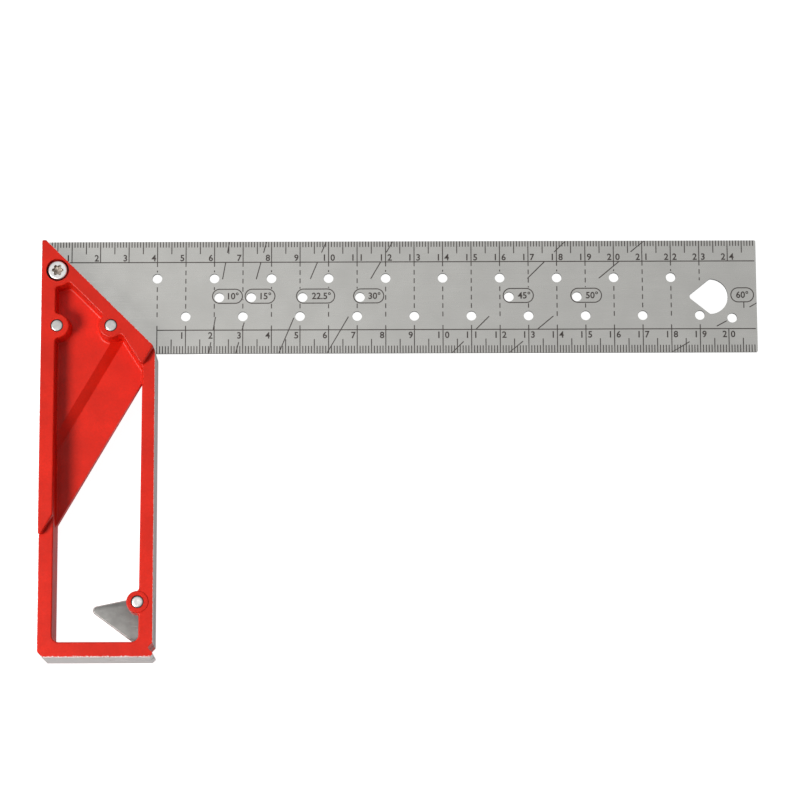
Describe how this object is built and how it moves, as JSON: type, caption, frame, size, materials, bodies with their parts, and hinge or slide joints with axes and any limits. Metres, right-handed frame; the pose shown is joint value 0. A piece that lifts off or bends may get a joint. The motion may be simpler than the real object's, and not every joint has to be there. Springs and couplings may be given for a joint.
{
  "type": "try and mitre square",
  "caption": "Try and mitre square: steel rule blade with marking holes, red cast handle with a window, and a plate that swings out of the handle's inner face.",
  "frame": {"origin": "under the middle of the whole square, on the surface that its back rests on", "axes": "+X along the blade towards its free end, +Y across the blade away from the handle, +Z out of the front"},
  "size_m": [0.2494, 0.1474, 0.025],
  "materials": {
    "red_cast_aluminium": "red powder coat on die-cast aluminium, bare on the machined faces",
    "satin_steel": "satin stainless steel with a fine grain along the blade",
    "bright_steel": "bright plated steel",
    "rivet_steel": "ground flat ends",
    "plain_steel": "plain stamped steel, slightly dull"
  },
  "bodies": {
    "handle": {"stock": "red_cast_aluminium", "blade": "satin_steel", "blade_screw": "bright_steel", "blade_rivet_outer": "rivet_steel", "blade_rivet_inner": "rivet_steel", "support_pin": "bright_steel", "friction_washer": "plain_steel"},
    "support": {"support_plate": "plain_steel"}
  },
  "joints": [
    {"name": "support_swing", "type": "hinge", "parent": "handle", "child": "support", "pos_m": [-0.0906, -0.0547, 0.0125], "axis": [0, 0, 1], "range_deg": [0, 80]}
  ]
}
